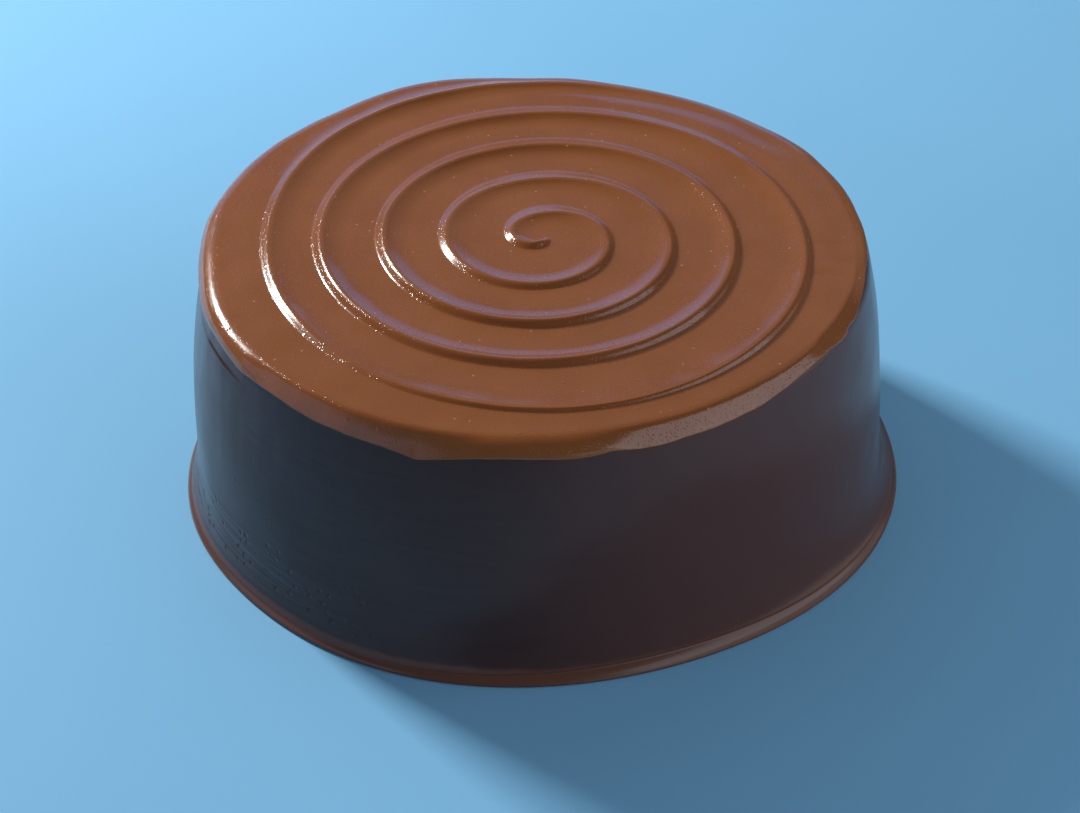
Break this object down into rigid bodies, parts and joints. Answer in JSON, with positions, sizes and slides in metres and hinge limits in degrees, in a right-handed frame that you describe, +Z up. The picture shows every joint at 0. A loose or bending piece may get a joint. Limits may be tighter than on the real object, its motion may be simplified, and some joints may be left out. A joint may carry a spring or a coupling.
{
  "type": "chocolate layer cake",
  "caption": "Round chocolate layer cake under a glossy coat, with a spiral combed into its top, a thin lip folded over the rim and a low foot, resting on its flat base.",
  "frame": {"origin": "centre of the cake's flat base, on the surface that it rests on", "axes": "+Z up along the axis of the wall, +X to the right and +Y to the back, seen from the front"},
  "size_m": [0.2203, 0.2201, 0.0814],
  "materials": {
    "icing": "smooth milk-brown chocolate coat, satin on the top, with a darker and glossier coat on the wall"
  },
  "bodies": {
    "root": {"iced_cake": "icing"}
  },
  "joints": []
}
